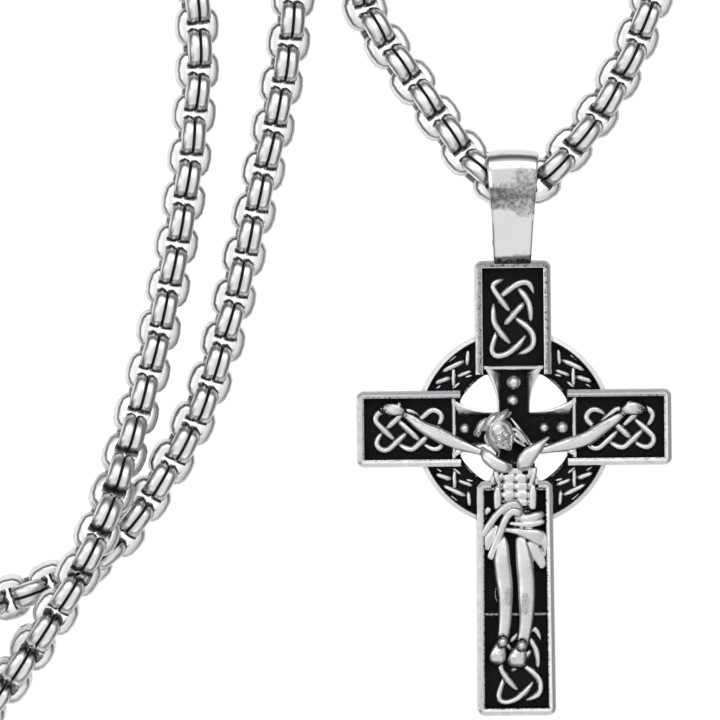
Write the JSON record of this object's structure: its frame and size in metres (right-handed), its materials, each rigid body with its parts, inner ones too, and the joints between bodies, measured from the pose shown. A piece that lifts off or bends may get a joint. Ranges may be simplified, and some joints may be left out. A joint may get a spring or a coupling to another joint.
{
  "type": "celtic knot crucifix pendant on a chain",
  "caption": "Steel crucifix pendant with Celtic ring, knotwork panels, raised figure and tapered fold-over bail, on a round box chain closed by a plain clasp.",
  "frame": {"origin": "middle of the cross, on its flat back face", "axes": "+Y up the cross towards the bail, +X to the right seen from the front, +Z out of the front face"},
  "size_m": [0.1395, 0.1284, 0.0078],
  "materials": {
    "antiqued_steel": "cast stainless steel, polished high spots, blackened recesses",
    "polished_steel": "polished stainless steel"
  },
  "bodies": {
    "root": {"crucifix": "antiqued_steel", "box_chain_left": "polished_steel", "box_chain_right": "polished_steel", "lobster_clasp": "polished_steel", "clasp_ring": "polished_steel", "end_ring": "polished_steel"}
  },
  "joints": []
}
